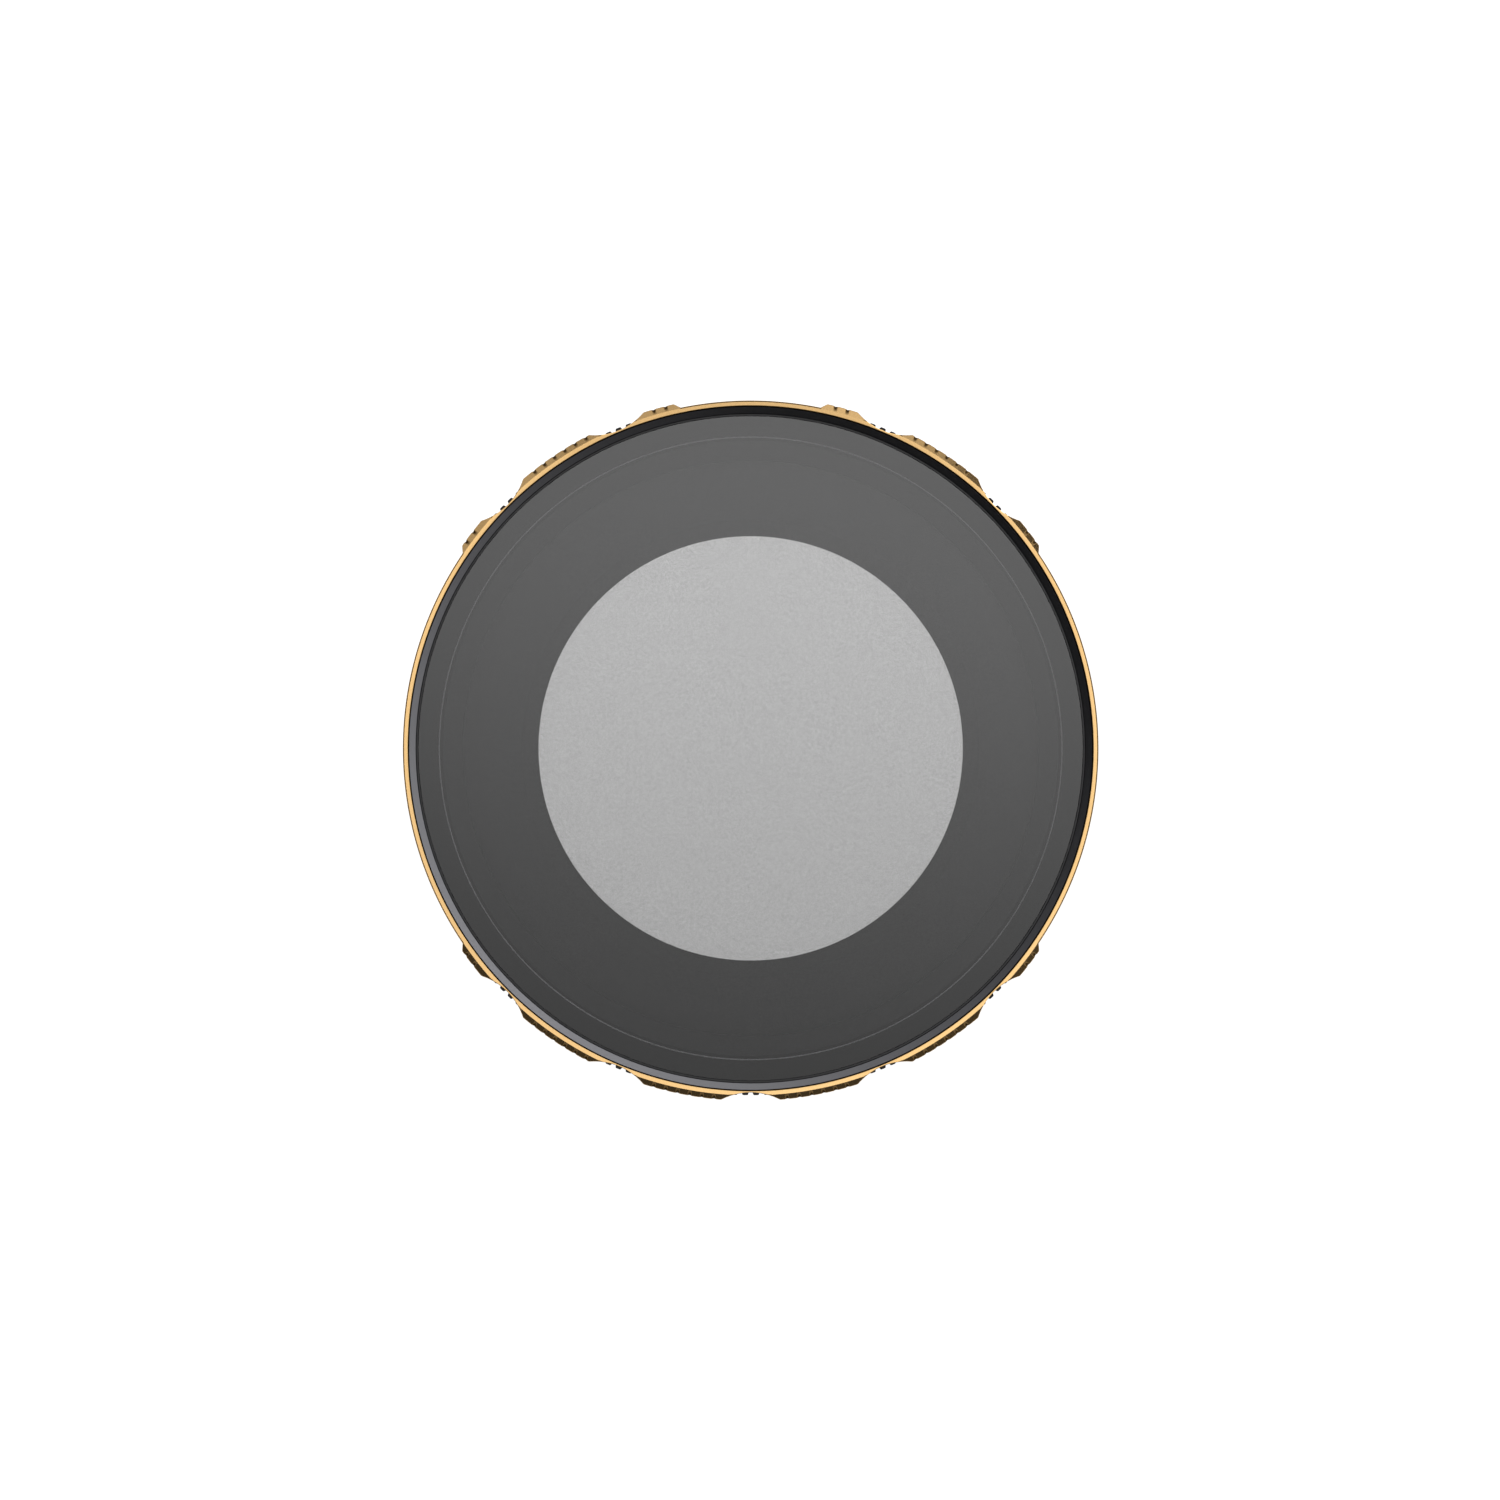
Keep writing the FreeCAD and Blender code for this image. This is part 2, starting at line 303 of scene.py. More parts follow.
def ptfe_sheet():
    # Skived fluoropolymer: waxy off-white with a faint mottle.
    mottle_width = 1.5 * MM
    material, tree, place = new_material("ptfe_sheet")
    mottle = add(tree, "ShaderNodeTexNoise", named={
        "Vector": place, "Scale": 1 / mottle_width, "Detail": 3.0,
    })
    tone = add(tree, "ShaderNodeMix", data_type="RGBA", named={
        "Factor": mottle.outputs["Fac"], "A": linear("#dcdad2"), "B": linear("#eceae4"),
    })
    shader = add(tree, "ShaderNodeBsdfPrincipled", named={"Base Color": tone, "Roughness": 0.5, "IOR": 1.35})
    add(tree, "ShaderNodeOutputMaterial", shader)
    return material


def ground_steel():
    # Centreless-ground dowel: bright steel with a fine, even grain.
    grain_width = 0.05 * MM
    material, tree, place = new_material("ground_steel")
    grain = add(tree, "ShaderNodeTexNoise", named={"Vector": place, "Scale": 1 / grain_width, "Detail": 2.0})
    satin = add(tree, "ShaderNodeMapRange", named={
        "Value": grain.outputs["Fac"], "To Min": 0.2, "To Max": 0.4,
    })
    tone = add(tree, "ShaderNodeMix", data_type="RGBA", named={
        "Factor": grain.outputs["Fac"], "A": linear("#a8a9ab"), "B": linear("#b9babb"),
    })
    shader = add(tree, "ShaderNodeBsdfPrincipled", named={
        "Base Color": tone, "Metallic": 1.0, "Roughness": satin,
    })
    add(tree, "ShaderNodeOutputMaterial", shader)
    return material


gold = gold_anodised_aluminium()
black = black_anodised_aluminium(
    "black_anodised_aluminium", shades=("#1c1c1e", "#262629"), satin=(0.45, 0.55), metallic=0.0, specular=0.5)
# The matt black of the frame carries the painted highlight line round the lip's edge.
matt_black = black_anodised_aluminium(
    "matt_black_anodised_aluminium", shades=("#0a0a0b", "#0f0f10"), satin=(0.60, 0.70), metallic=0.0,
    specular=0.1, painted_highlight_radii=lip_highlight_radii)
cut_black = black_anodised_aluminium(
    "cut_black_anodised_aluminium", shades=("#606063", "#68686b"), satin=(0.30, 0.36), metallic=1.0,
    specular=0.5)
front_polariser = laminated_polariser_glass(
    "front_polariser_glass", shades=("#afafaf", "#bfbfbf"), mirror=0.12)
rear_polariser = laminated_polariser_glass(
    "rear_polariser_glass", shades=("#ececec", "#ffffff"), mirror=0.02)
ptfe = ptfe_sheet()
steel = ground_steel()


# Pieces


def new_piece(name, mesh, finish):
    """A finished piece from a closed mesh, with its rounds shaded smooth and its edges crisp."""
    mesh.name = name
    mesh.materials.clear()
    mesh.materials.append(finish)
    mesh.shade_smooth()
    mesh.set_sharp_from_angle(angle=smooth_angle)
    piece = bpy.data.objects.new(name, mesh)
    scene.collection.objects.link(piece)
    return piece


def broken(section):
    """A closed section with each corner off the axis cut back by the edge break."""
    points = []
    count = len(section)
    for i, (radius, height) in enumerate(section):
        if radius == 0:
            points.append((radius, height))
            continue
        for other in (section[i - 1], section[(i + 1) % count]):
            length = math.dist(other, (radius, height))
            share = min(edge_break, length / 3) / length
            points.append((radius + (other[0] - radius) * share, height + (other[1] - height) * share))
    return points


def turned(name, section, finish):
    """A piece turned about the optical axis from a closed section of (radius, height) in millimetres."""
    shape = bmesh.new()
    rings = []
    for radius, height in broken(section):
        steps = 1 if radius == 0 else round_steps
        ring = []
        for i in range(steps):
            turn = 2 * math.pi * i / round_steps
            x, y = radius * math.sin(turn), radius * math.cos(turn)
            ring.append(shape.verts.new((x * MM, y * MM, height * MM)))
        rings.append(ring * round_steps if steps == 1 else ring)
    for ring, after in zip(rings, rings[1:] + rings[:1]):
        for i in range(round_steps):
            j = (i + 1) % round_steps
            corners = list(dict.fromkeys((ring[i], ring[j], after[j], after[i])))
            if len(corners) > 2:
                shape.faces.new(corners)
    bmesh.ops.recalc_face_normals(shape, faces=shape.faces)
    mesh = bpy.data.meshes.new(name)
    shape.to_mesh(mesh)
    shape.free()
    return new_piece(name, mesh, finish)


def disc(name, radius, span, finish):
    """A disc on the optical axis, from one height to another."""
    rear, front = span
    return turned(name, [(0, rear), (radius, rear), (radius, front), (0, front)], finish)


def new_tree(name, sizes):
    """A geometry tree with a named input for each size and for the finish."""
    tree = bpy.data.node_groups.new(name, "GeometryNodeTree")
    for size, value in sizes.items():
        kind = "NodeSocketInt" if isinstance(value, int) else "NodeSocketFloat"
        tree.interface.new_socket(size, in_out="INPUT", socket_type=kind)
    tree.interface.new_socket("Finish", in_out="INPUT", socket_type="NodeSocketMaterial")
    tree.interface.new_socket("Geometry", in_out="OUTPUT", socket_type="NodeSocketGeometry")
    return tree, add(tree, "NodeGroupInput").outputs


def grown(name, tree, sizes, finish):
    """Runs a geometry tree with its sizes, and keeps what it makes as a plain mesh."""
    maker = bpy.data.objects.new(name + "_maker", bpy.data.meshes.new(name + "_maker"))
    modifier = maker.modifiers.new(name, "NODES")
    modifier.node_group = tree
    for socket in tree.interface.items_tree:
        if socket.in_out == "INPUT":
            modifier[socket.identifier] = sizes.get(socket.name, finish)
    scene.collection.objects.link(maker)
    graph = bpy.context.evaluated_depsgraph_get()
    mesh = bpy.data.meshes.new_from_object(maker.evaluated_get(graph))
    bpy.data.objects.remove(maker)
    return new_piece(name, mesh, finish)


def wrapped(tree, size, section):
    """Wraps a grid round the axis: each row has a radius and a height, worked out from the column's angle.

    Rows that lie in a recess keep how deep they are in it, as a share of its depth, for the finish to paint
    shade by.
    """
    seam_gap = 0.002 * MM
    place = add(tree, "ShaderNodeSeparateXYZ", add(tree, "GeometryNodeInputPosition"))
    angle = place.outputs["X"]
    corners, painted_shade_rows = section(angle)
    rows = len(corners)
    corners.append(corners[0])
    level = add(tree, "ShaderNodeMath", place.outputs["Y"], rows / 2, operation="ADD")
    row = add(tree, "FunctionNodeFloatToInt", level, rounding_mode="ROUND")
    radii, heights = zip(*corners)
    radius = add(tree, "GeometryNodeIndexSwitch", row, *radii, data_type="FLOAT", items=rows - 1)
    height = add(tree, "GeometryNodeIndexSwitch", row, *heights, data_type="FLOAT", items=rows - 1)
    turn = add(tree, "ShaderNodeMath", angle, operation="RADIANS")
    sine = add(tree, "ShaderNodeMath", turn, operation="SINE")
    cosine = add(tree, "ShaderNodeMath", turn, operation="COSINE")
    across = add(tree, "ShaderNodeMath", radius, sine, operation="MULTIPLY")
    along = add(tree, "ShaderNodeMath", radius, cosine, operation="MULTIPLY")
    spot = add(tree, "ShaderNodeCombineXYZ", across, along, height)
    shell = add(tree, "GeometryNodeMeshGrid", circle, float(rows), size["Columns"], rows + 1)
    # The share drives the gold's painted shade in the grooves and the bezel's seat.
    if painted_shade_rows:
        shares = [painted_shade_rows.get(i, 0.0) for i in range(rows + 1)]
        share = add(tree, "GeometryNodeIndexSwitch", row, *shares, data_type="FLOAT", items=rows - 1)
        shell = add(tree, "GeometryNodeStoreNamedAttribute", data_type="FLOAT", domain="POINT", named={
            "Geometry": shell, "Name": "painted_shade", "Value": share,
        })
    shell = add(tree, "GeometryNodeSetPosition", named={"Geometry": shell, "Position": spot})
    closed = add(tree, "GeometryNodeMergeByDistance", named={"Geometry": shell, "Distance": seam_gap})
    solid = add(tree, "GeometryNodeRealizeInstances", closed)
    finished = add(tree, "GeometryNodeSetMaterial", named={"Geometry": solid, "Material": size["Finish"]})
    add(tree, "NodeGroupOutput", finished)


def grip_ring_tree():
    """The gold ring's rule: lugs, scallops, grooves and smooth zones, chamfered at both ends."""
    tree, size = new_tree("finger_grip_ring", grip)

    def beyond_zones(angle):
        """How many degrees an angle lies outside the nearest smooth zone."""
        turn = add(tree, "ShaderNodeMath", angle, operation="ABSOLUTE")
        top = add(tree, "ShaderNodeMath", turn, size["Top Zone"], operation="SUBTRACT")
        from_side = add(tree, "ShaderNodeMath", turn, size["Side Zone Centre"], operation="SUBTRACT")
        apart = add(tree, "ShaderNodeMath", from_side, operation="ABSOLUTE")
        side = add(tree, "ShaderNodeMath", apart, size["Side Zone"], operation="SUBTRACT")
        return add(tree, "ShaderNodeMath", top, side, operation="MINIMUM")

    def plain_outline(angle):
        """Lugs with round scallops between them, ramped down to the smooth zones."""
        half_pitch = add(tree, "ShaderNodeMath", size["Scallop Pitch"], 2.0, operation="DIVIDE")
        offset = add(tree, "ShaderNodeMath", angle, half_pitch, operation="PINGPONG")
        turn = add(tree, "ShaderNodeMath", offset, operation="RADIANS")
        centre = add(tree, "ShaderNodeMath", size["Scallop Floor"], size["Scallop Radius"], operation="ADD")
        sine = add(tree, "ShaderNodeMath", turn, operation="SINE")
        cosine = add(tree, "ShaderNodeMath", turn, operation="COSINE")
        across = add(tree, "ShaderNodeMath", centre, sine, operation="MULTIPLY")
        along = add(tree, "ShaderNodeMath", centre, cosine, operation="MULTIPLY")
        across_squared = add(tree, "ShaderNodeMath", across, across, operation="MULTIPLY")
        radius_squared = add(tree, "ShaderNodeMath", size["Scallop Radius"], size["Scallop Radius"],
                             operation="MULTIPLY")
        left = add(tree, "ShaderNodeMath", radius_squared, across_squared, operation="SUBTRACT")
        held = add(tree, "ShaderNodeMath", left, 0.0, operation="MAXIMUM")
        half_chord = add(tree, "ShaderNodeMath", held, operation="SQRT")
        scallop = add(tree, "ShaderNodeMath", along, half_chord, operation="SUBTRACT")
        # The smooth zones have no scallops: those are moved outwards, out of reach of the ring.
        beyond = beyond_zones(angle)
        in_zone = add(tree, "ShaderNodeMath", beyond, 0.0, operation="LESS_THAN")
        scallop = add(tree, "ShaderNodeMath", in_zone, size["Out of Reach"], scallop,
                      operation="MULTIPLY_ADD")
        outside = add(tree, "ShaderNodeMath", beyond, 0.0, operation="MAXIMUM")
        climbed = add(tree, "ShaderNodeMath", outside, size["Zone Ramp"], operation="DIVIDE")
        rise = add(tree, "ShaderNodeMath", size["Lug Radius"], size["Smooth Radius"], operation="SUBTRACT")
        zone = add(tree, "ShaderNodeMath", climbed, rise, size["Smooth Radius"], operation="MULTIPLY_ADD")
        lugs = add(tree, "ShaderNodeMath", size["Lug Radius"], scallop, size["Corner Blend"],
                   operation="SMOOTH_MIN")
        return add(tree, "ShaderNodeMath", lugs, zone, size["Corner Blend"], operation="SMOOTH_MIN")

    def groove_walls(angle):
        """The walls of the V-grooves at full depth, on the tops of the lugs where a whole groove fits."""
        half_pitch = add(tree, "ShaderNodeMath", size["Groove Pitch"], 2.0, operation="DIVIDE")
        offset = add(tree, "ShaderNodeMath", angle, half_pitch, operation="PINGPONG")
        turn = add(tree, "ShaderNodeMath", offset, operation="RADIANS")
        arc = add(tree, "ShaderNodeMath", turn, size["Lug Radius"], operation="MULTIPLY")
        half_width = add(tree, "ShaderNodeMath", size["Groove Width"], 2.0, operation="DIVIDE")
        share = add(tree, "ShaderNodeMath", arc, half_width, operation="DIVIDE")
        root = add(tree, "ShaderNodeMath", size["Lug Radius"], size["Groove Depth"], operation="SUBTRACT")
        groove = add(tree, "ShaderNodeMath", share, size["Groove Depth"], root, operation="MULTIPLY_ADD")
        count = add(tree, "ShaderNodeMath", angle, size["Groove Pitch"], operation="DIVIDE")
        nearest = add(tree, "ShaderNodeMath", count, operation="ROUND")
        centre = add(tree, "ShaderNodeMath", nearest, size["Groove Pitch"], operation="MULTIPLY")
        half_scallop = add(tree, "ShaderNodeMath", size["Scallop Pitch"], 2.0, operation="DIVIDE")
        from_scallop = add(tree, "ShaderNodeMath", centre, half_scallop, operation="PINGPONG")
        on_lug = add(tree, "ShaderNodeMath", from_scallop, size["Scallop Clearance"],
                     operation="GREATER_THAN")
        clear = add(tree, "ShaderNodeMath", beyond_zones(centre), size["Groove Clearance"],
                    operation="GREATER_THAN")
        fits = add(tree, "ShaderNodeMath", on_lug, clear, operation="MULTIPLY")
        left_out = add(tree, "ShaderNodeMath", 1.0, fits, operation="SUBTRACT")
        return add(tree, "ShaderNodeMath", left_out, size["Out of Reach"], groove, operation="MULTIPLY_ADD")

    def cut_to(part, plain, walls):
        """The outline with its grooves cut to a part of their depth, and which of it lies in them."""
        shallower = add(tree, "ShaderNodeMath", size["Groove Depth"], 1 - part, walls,
                        operation="MULTIPLY_ADD")
        outline = add(tree, "ShaderNodeMath", plain, shallower, operation="MINIMUM")
        sunk = add(tree, "ShaderNodeMath", plain, outline, operation="SUBTRACT")
        deep = add(tree, "ShaderNodeMath", sunk, size["Groove Depth"], operation="DIVIDE")
        return outline, add(tree, "ShaderNodeMapRange", named={
            "Value": deep, "From Min": 0.0, "From Max": 0.1,
        })

    def chamfer(outline):
        """An end chamfer on an outline: its radii and its drops from the end face, with broken corners."""
        inner = add(tree, "ShaderNodeMath", outline, size["Rim Radius"], operation="MINIMUM")
        length = add(tree, "ShaderNodeMath", outline, inner, operation="SUBTRACT")
        half = add(tree, "ShaderNodeMath", length, 2.0, operation="DIVIDE")
        cut = add(tree, "ShaderNodeMath", size["Edge Break"], half, operation="MINIMUM")
        spare = add(tree, "ShaderNodeMath", size["Edge Break"], cut, operation="SUBTRACT")
        to_far = add(tree, "ShaderNodeMath", length, cut, operation="SUBTRACT")
        # A lug's wide chamfer meets the end face in a crisp corner.
        blunt = add(tree, "ShaderNodeMapRange", named={
            "Value": length, "From Min": size["Blunt Chamfer"], "From Max": size["Crisp Chamfer"],
            "To Min": 1.0, "To Max": 0.0,
        })
        near_break = add(tree, "ShaderNodeMath", size["Edge Break"], blunt, operation="MULTIPLY")
        near_cut = add(tree, "ShaderNodeMath", near_break, half, operation="MINIMUM")
        near_drop = add(tree, "ShaderNodeMath", near_cut, size["Chamfer Slope"], spare,
                        operation="MULTIPLY_ADD")
        far_drop = add(tree, "ShaderNodeMath", to_far, size["Chamfer Slope"], spare,
                       operation="MULTIPLY_ADD")
        wall_drop = add(tree, "ShaderNodeMath", length, size["Chamfer Slope"], size["Edge Break"],
                        operation="MULTIPLY_ADD")
        return [
            (add(tree, "ShaderNodeMath", inner, near_break, operation="SUBTRACT"), None),
            (add(tree, "ShaderNodeMath", inner, near_cut, operation="ADD"), near_drop),
            (add(tree, "ShaderNodeMath", outline, cut, operation="SUBTRACT"), far_drop),
            (outline, wall_drop),
        ]

    def rim_height(radius):
        """The height of the dished front rim at a radius, level beyond the rim's outer edge."""
        inwards = add(tree, "ShaderNodeMath", size["Rim Radius"], radius, operation="SUBTRACT")
        held = add(tree, "ShaderNodeMath", inwards, 0.0, operation="MAXIMUM")
        width = add(tree, "ShaderNodeMath", size["Rim Radius"], size["Seat Radius"], operation="SUBTRACT")
        share = add(tree, "ShaderNodeMath", held, width, operation="DIVIDE")
        fall = add(tree, "ShaderNodeMath", share, size["Rim Dish"], operation="MULTIPLY")
        return add(tree, "ShaderNodeMath", size["Front"], fall, operation="SUBTRACT")

    def section(angle):
        plain = plain_outline(angle)
        walls = groove_walls(angle)
        corners = [(size["Bore Radius"], size["Rear"])]
        for radius, drop in chamfer(plain):
            height = size["Rear"]
            if drop is not None:
                height = add(tree, "ShaderNodeMath", height, drop, operation="ADD")
            corners.append((radius, height))
        # The grooves deepen and widen from nothing at their foot to the front.
        corners.append((plain, size["Groove Foot"]))
        climb = add(tree, "ShaderNodeMath", size["Front"], size["Groove Foot"], operation="SUBTRACT")
        # Rows in the grooves are listed for the gold's painted shade.
        painted_shade_rows = {}
        for part in groove_steps:
            outline, painted_shade_rows[len(corners)] = cut_to(part, plain, walls)
            height = add(tree, "ShaderNodeMath", climb, part, size["Groove Foot"], operation="MULTIPLY_ADD")
            corners.append((outline, height))
        grooved, share = cut_to(1.0, plain, walls)
        painted_shade_rows.update({len(corners): share, len(corners) + 1: share})
        for radius, drop in reversed(chamfer(grooved)):
            height = rim_height(radius)
            if drop is not None:
                height = add(tree, "ShaderNodeMath", height, drop, operation="SUBTRACT")
            corners.append((radius, height))
        # The bezel's seat, which gets the painted shade from its edge to the bore.
        seat_edge = add(tree, "ShaderNodeMath", size["Seat Radius"], size["Edge Break"], operation="ADD")
        seat_wall = add(tree, "ShaderNodeMath", rim_height(size["Seat Radius"]), size["Edge Break"],
                        operation="SUBTRACT")
        corners.append((seat_edge, rim_height(seat_edge)))
        for corner in (
            (size["Seat Radius"], seat_wall),
            (size["Seat Radius"], size["Seat Height"]),
            (size["Bore Radius"], size["Seat Height"]),
        ):
            painted_shade_rows[len(corners)] = 1.0
            corners.append(corner)
        return corners, painted_shade_rows

    wrapped(tree, size, section)
    return tree


def mount_base_tree():
    """The black base's rule: a turned section with a knurled flange, and bayonet tabs on the spigot."""
    tree, size = new_tree("knurled_mount_base", base)

    def section(angle):
        step = size["Edge Break"]
        half_pitch = add(tree, "ShaderNodeMath", size["Knurl Pitch"], 2.0, operation="DIVIDE")
        offset = add(tree, "ShaderNodeMath", angle, half_pitch, operation="PINGPONG")
        turn = add(tree, "ShaderNodeMath", offset, operation="RADIANS")
        arc = add(tree, "ShaderNodeMath", turn, size["Flange Radius"], operation="MULTIPLY")
        half_width = add(tree, "ShaderNodeMath", size["Knurl Width"], 2.0, operation="DIVIDE")
        share = add(tree, "ShaderNodeMath", arc, half_width, operation="DIVIDE")
        root = add(tree, "ShaderNodeMath", size["Flange Radius"], size["Knurl Depth"], operation="SUBTRACT")
        gap = add(tree, "ShaderNodeMath", share, size["Knurl Depth"], root, operation="MULTIPLY_ADD")
        knurl = add(tree, "ShaderNodeMath", gap, size["Flange Radius"], operation="MINIMUM")
        knurl_edge = add(tree, "ShaderNodeMath", knurl, step, operation="SUBTRACT")

        ahead = add(tree, "ShaderNodeMath", angle, circle + tab_shift, operation="ADD")
        round_tab = add(tree, "ShaderNodeMath", ahead, size["Tab Pitch"], operation="FLOORED_MODULO")
        on_tab = add(tree, "ShaderNodeMath", round_tab, size["Tab Angle"], operation="LESS_THAN")
        reach = add(tree, "ShaderNodeMath", size["Tab Radius"], size["Spigot Radius"], operation="SUBTRACT")
        tab = add(tree, "ShaderNodeMath", on_tab, reach, size["Spigot Radius"], operation="MULTIPLY_ADD")
        tab_edge = add(tree, "ShaderNodeMath", tab, step, operation="SUBTRACT")
        round_all = add(tree, "ShaderNodeMath", ahead, circle, operation="FLOORED_MODULO")
        on_stop = add(tree, "ShaderNodeMath", round_all, size["Stop Angle"], operation="LESS_THAN")
        climb = add(tree, "ShaderNodeMath", size["Spigot Length"], size["Tab Thickness"],
                    operation="SUBTRACT")
        tab_top = add(tree, "ShaderNodeMath", on_stop, climb, size["Tab Thickness"],
                      operation="MULTIPLY_ADD")
        tab_wall = add(tree, "ShaderNodeMath", tab_top, step, operation="SUBTRACT")
        tab_cut = add(tree, "ShaderNodeMath", on_tab, step, operation="MULTIPLY")
        tab_rim = add(tree, "ShaderNodeMath", tab, tab_cut, operation="SUBTRACT")

        bore_edge = add(tree, "ShaderNodeMath", size["Aperture Radius"], step, operation="ADD")
        flange_foot = add(tree, "ShaderNodeMath", size["Spigot Length"], step, operation="ADD")
        flange_wall = add(tree, "ShaderNodeMath", size["Flange Top"], step, operation="SUBTRACT")
        hub_wall = add(tree, "ShaderNodeMath", size["Hub Top"], step, operation="SUBTRACT")
        hub_edge = add(tree, "ShaderNodeMath", size["Hub Radius"], step, operation="SUBTRACT")
        pocket_edge = add(tree, "ShaderNodeMath", size["Pocket Radius"], step, operation="ADD")
        bevel_foot = add(tree, "ShaderNodeMath", size["Seat Top"], size["Bevel"], operation="SUBTRACT")
        return [
            (bore_edge, 0.0),
            (tab_edge, 0.0),
            (tab, step),
            (tab, tab_wall),
            (tab_rim, tab_top),
            (size["Spigot Radius"], tab_top),
            (size["Spigot Radius"], size["Spigot Length"]),
            (knurl_edge, size["Spigot Length"]),
            (knurl, flange_foot),
            (knurl, flange_wall),
            (knurl_edge, size["Flange Top"]),
            (size["Hub Radius"], size["Flange Top"]),
            (size["Hub Radius"], hub_wall),
            (hub_edge, size["Hub Top"]),
            (pocket_edge, size["Hub Top"]),
            (size["Pocket Radius"], hub_wall),
            (size["Pocket Radius"], size["Seat Top"]),
            (size["Seat Radius"], size["Seat Top"]),
            (size["Aperture Radius"], bevel_foot),
            (size["Aperture Radius"], step),
        ], {}

    wrapped(tree, size, section)
    return tree


def finish_bezel(bezel):
    """Gives the level land a satin finish, and the cone a bright cut one. Walls and edges stay matt."""
    level_from = 0.99
    cone_slope = (0.6, 0.8)
    land_slot, cone_slot = 1, 2
    bezel.data.materials.append(black)
    bezel.data.materials.append(cut_black)
    for face in bezel.data.polygons:
        if face.normal.z > level_from:
            face.material_index = land_slot
        elif cone_slope[0] < face.normal.z < cone_slope[1] and face.center.xy.length > bezel_cone_foot * MM:
            face.material_index = cone_slot


grip_ring = grown("gold_grip_ring", grip_ring_tree(), grip, gold)
mount_base = grown("knurled_mount_base", mount_base_tree(), base, black)
front_bezel = turned("black_front_bezel", [
    (bezel_opening, bezel_seat),
    (bezel_radius, bezel_seat),
    (bezel_radius, bezel_top),
    (bezel_cone_foot, bezel_land),
    (bezel_opening, bezel_land),
], matt_black)
finish_bezel(front_bezel)
retaining_ring = turned("black_retaining_ring", [
    (retainer_opening, retainer_foot),
    (retainer_thread, retainer_foot),
    (retainer_thread, hub_top),
    (retainer_flange, hub_top),
    (retainer_flange, retainer_top),
    (retainer_opening, retainer_top),
], black)
front_glass = disc("front_polariser_disc", front_glass_radius, front_glass_span, front_polariser)
rear_glass = disc("rear_polariser_disc", rear_glass_radius, rear_glass_span, rear_polariser)

dressed = [
    (grip_ring, "front", "gold_anodised", ["grip_ring"]),
    (front_bezel, "front", "black_anodised", ["front_bezel"]),
    (front_glass, "front", "coated_glass", [
        "front_cover_glass", "front_polarising_film", "front_backing_glass",
    ]),
    (retaining_ring, "base", "black_anodised", ["rear_retaining_ring"]),
    (rear_glass, "base", "coated_glass", [
        "rear_cover_glass", "rear_polarising_film", "rear_retarder_film", "rear_backing_glass",
    ]),
    (mount_base, "base", "black_anodised", ["mount_base"]),
]
for piece, body, slot, stood_for in dressed:
    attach(piece, body)
    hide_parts(*stood_for)
for name, finish in {"front_frame": matt_black, "glide_washer": ptfe, "stop_pin": steel}.items():
    cad[name].data.materials.clear()
    cad[name].data.materials.append(finish)


# Floor, light and camera


def white_light_table():
    # Opal acrylic, lit from below: an even white to the eye, with a painted shade that dims it a little under
    # the lower half of the filter. Its faint mottle is 40 mm wide.
    mottle_width = 40 * MM
    open_glow = 1.02
    material, tree, place = new_material("white_light_table")
    mottle = add(tree, "ShaderNodeTexNoise", named={
        "Vector": place, "Scale": 1 / mottle_width, "Detail": 2.0,
    })
    tone = add(tree, "ShaderNodeMix", data_type="RGBA", named={
        "Factor": mottle.outputs["Fac"], "A": linear("#bababa"), "B": linear("#bdbdbd"),
    })
    ray = add(tree, "ShaderNodeLightPath")
    # Painted shade: the glow drops to 0.85 under the lower half of the filter.
    painted_floor_shade = add(tree, "ShaderNodeMapRange", interpolation_type="SMOOTHSTEP", named={
        "Value": add(tree, "ShaderNodeSeparateXYZ", place).outputs["Y"],
        "From Min": -0.02, "From Max": 0.02, "To Min": 0.85, "To Max": open_glow,
    })
    away = add(tree, "ShaderNodeMapRange", interpolation_type="SMOOTHSTEP", named={
        "Value": add(tree, "ShaderNodeVectorMath", place, operation="LENGTH").outputs["Value"],
        "From Min": 0.015, "From Max": 0.03,
    })
    even = add(tree, "ShaderNodeMix", named={"Factor": away, "A": painted_floor_shade, "B": open_glow})
    glow = add(tree, "ShaderNodeMapRange", named={
        "Value": ray.outputs["Is Camera Ray"], "To Min": 0.35, "To Max": even,
    })
    shader = add(tree, "ShaderNodeBsdfPrincipled", named={
        "Base Color": tone, "Roughness": 0.9, "Specular IOR Level": 0.0,
        "Emission Color": linear("#ffffff"), "Emission Strength": glow,
    })
    add(tree, "ShaderNodeOutputMaterial", shader)
    material.cycles.emission_sampling = "NONE"
    return material


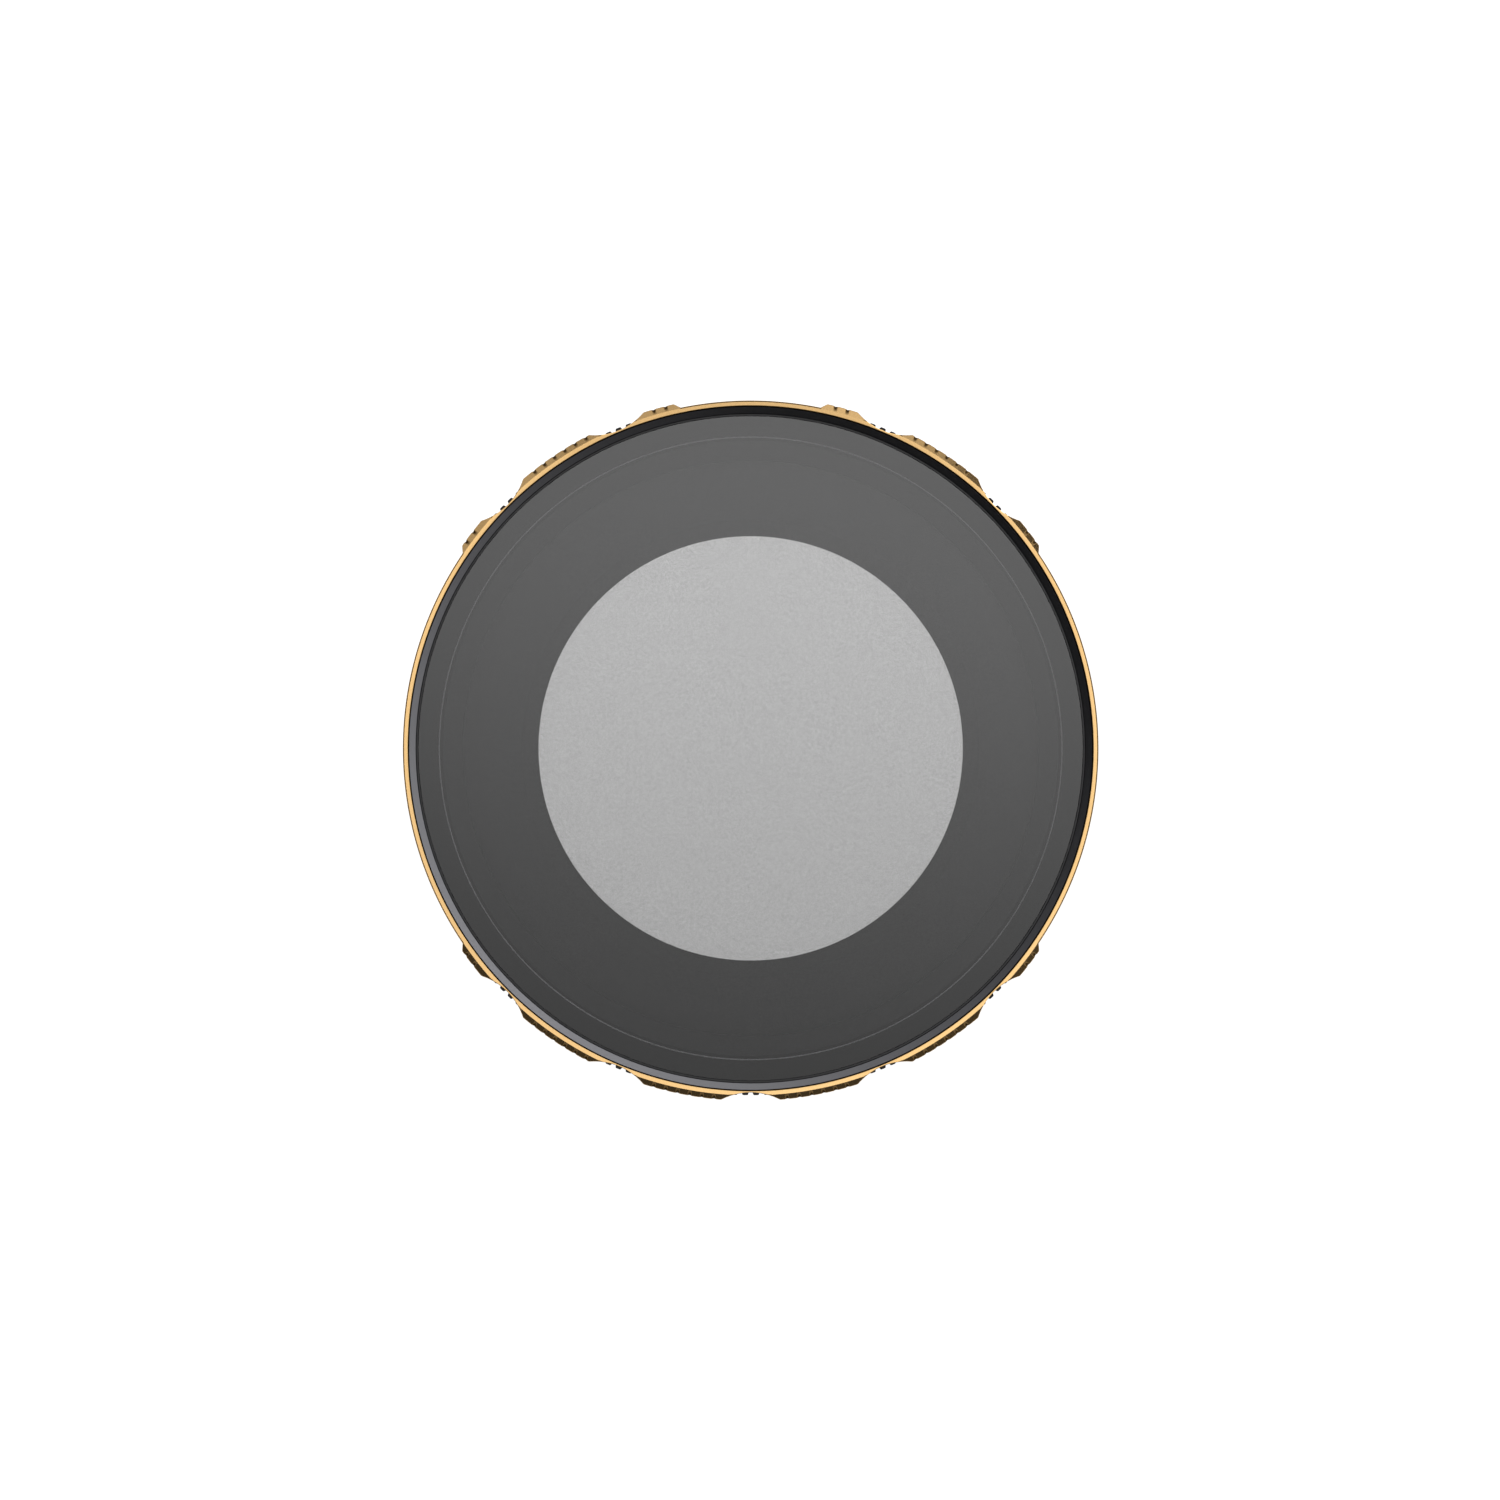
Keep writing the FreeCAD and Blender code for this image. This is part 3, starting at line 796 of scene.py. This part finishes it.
def overhead_card():
    # A backlit card. The glass mirrors the dim window in its middle, which is brighter on the side towards
    # the top of the photograph. The dished gold rim mirrors what lies round that window, and each part of
    # the rim sees the far side of the card.
    window_axis = (0.16, 0.99, 0)
    corner_axis = (0.70, 0.71, 0)
    material, tree, place = new_material("overhead_card")
    split = add(tree, "ShaderNodeSeparateXYZ", place)
    tilted = add(tree, "ShaderNodeVectorMath", place, window_axis, operation="DOT_PRODUCT").outputs["Value"]
    window = add(tree, "ShaderNodeMapRange", interpolation_type="SMOOTHSTEP", named={
        "Value": tilted, "From Min": -0.035, "From Max": 0.035, "To Min": 0.37, "To Max": 0.97,
    })
    aside = add(tree, "ShaderNodeMath", split.outputs["X"], operation="ABSOLUTE")
    near_middle = add(tree, "ShaderNodeMapRange", interpolation_type="SMOOTHSTEP", named={
        "Value": aside, "From Min": 0.03, "From Max": 0.10, "To Min": 1.0, "To Max": 0.0,
    })
    swing = add(tree, "ShaderNodeMapRange", interpolation_type="SMOOTHSTEP", named={
        "Value": split.outputs["Y"], "From Min": -0.09, "From Max": 0.09, "To Min": -1.23, "To Max": 0.32,
    })
    sides = add(tree, "ShaderNodeMapRange", interpolation_type="SMOOTHSTEP", named={
        "Value": split.outputs["Y"], "From Min": -0.05, "From Max": 0.0, "To Min": 2.3, "To Max": 1.85,
    })
    open_surround = add(tree, "ShaderNodeMath", near_middle, swing, sides, operation="MULTIPLY_ADD")
    corner = add(tree, "ShaderNodeVectorMath", place, corner_axis, operation="DOT_PRODUCT").outputs["Value"]
    shaded = add(tree, "ShaderNodeMapRange", interpolation_type="SMOOTHSTEP", named={
        "Value": corner, "From Min": 0.058, "From Max": 0.082, "To Min": 1.0, "To Max": 0.78,
    })
    surround = add(tree, "ShaderNodeMath", open_surround, shaded, operation="MULTIPLY")
    outside = add(tree, "ShaderNodeMapRange", interpolation_type="SMOOTHSTEP", named={
        "Value": from_axis(tree, place), "From Min": 0.05, "From Max": 0.08,
    })
    strength = add(tree, "ShaderNodeMix", named={"Factor": outside, "A": window, "B": surround})
    add(tree, "ShaderNodeOutputMaterial", add(tree, "ShaderNodeEmission", named={"Strength": strength}))
    return material


def sheet(name, half_width, height, finish):
    """A level square of the stage."""
    mesh = bpy.data.meshes.new(name)
    corners = [(-1, -1), (1, -1), (1, 1), (-1, 1)]
    mesh.from_pydata([(x * half_width, y * half_width, height) for x, y in corners], [], [(0, 1, 2, 3)])
    mesh.materials.append(finish)
    made = bpy.data.objects.new(name, mesh)
    scene.collection.objects.link(made)
    return made


def softbox(name, azimuth, elevation, distance, width, height, radiance):
    """A soft light aimed at the filter."""
    lamp = bpy.data.lights.new(name, "AREA")
    lamp.shape = "RECTANGLE"
    lamp.size = width
    lamp.size_y = height
    lamp.energy = radiance * math.pi * width * height
    made = bpy.data.objects.new(name, lamp)
    turn = math.radians(azimuth)
    lift = math.radians(elevation)
    away = Vector((math.sin(turn) * math.cos(lift), math.cos(turn) * math.cos(lift), math.sin(lift)))
    made.location = away * distance
    made.rotation_mode = "QUATERNION"
    made.rotation_quaternion = (-away).to_track_quat("-Z", "Y")
    made.visible_camera = False
    scene.collection.objects.link(made)


def studio_room():
    """A dim room with a low glow round the horizon, strongest to the upper right of the photograph."""
    glow_side = (0.707, 0.707, 0.0)
    glow_falloff = 2.2
    room_light = 0.06
    world = bpy.data.worlds.new("studio")
    world.use_nodes = True
    tree = world.node_tree
    tree.nodes.clear()
    direction = add(tree, "ShaderNodeTexCoord").outputs["Generated"]
    facing = add(tree, "ShaderNodeVectorMath", direction, glow_side, operation="DOT_PRODUCT").outputs["Value"]
    half_turn = add(tree, "ShaderNodeMapRange", named={"Value": facing, "From Min": -1.0, "From Max": 1.0})
    round_glow = add(tree, "ShaderNodeMath", half_turn, glow_falloff, operation="POWER")
    height = add(tree, "ShaderNodeSeparateXYZ", direction).outputs["Z"]
    low = add(tree, "ShaderNodeMapRange", interpolation_type="SMOOTHSTEP", named={
        "Value": height, "From Min": 0.12, "From Max": 0.40, "To Min": 3.3, "To Max": 0.0,
    })
    room_glow = add(tree, "ShaderNodeMath", round_glow, low, room_light, operation="MULTIPLY_ADD")
    dim = add(tree, "ShaderNodeBackground", linear("#ffffff"), room_glow)
    seen = add(tree, "ShaderNodeBackground", linear("#ffffff"), 1.0)
    ray = add(tree, "ShaderNodeLightPath")
    add(tree, "ShaderNodeOutputWorld",
        add(tree, "ShaderNodeMixShader", ray.outputs["Is Camera Ray"], dim, seen))
    return world


sheet("white_floor", half_width=3.0, height=0.0, finish=white_light_table())
card = sheet("overhead_card", half_width=0.25, height=0.6, finish=overhead_card())
card.visible_camera = False
softbox("top_light", azimuth=3, elevation=32, distance=0.9, width=0.92, height=0.3, radiance=0.68)
softbox("left_light", azimuth=-54, elevation=32, distance=0.9, width=0.66, height=0.3, radiance=0.62)
softbox("top_right_light", azimuth=16, elevation=32, distance=0.95, width=0.16, height=0.3, radiance=0.45)
scene.world = studio_room()

lens = bpy.data.cameras.new("camera")
lens.sensor_width = sensor_width
lens.lens = sensor_width * camera_distance / (photo_size * mm_per_px * MM)
camera = bpy.data.objects.new("camera", lens)
camera.location = (
    (photo_size / 2 - filter_centre_px[0]) * mm_per_px * MM,
    (filter_centre_px[1] - photo_size / 2) * mm_per_px * MM,
    cad_box[1].z + camera_distance,
)
scene.collection.objects.link(camera)
scene.camera = camera
scene.view_settings.view_transform = "Standard"
scene.cycles.transparent_max_bounces = 32
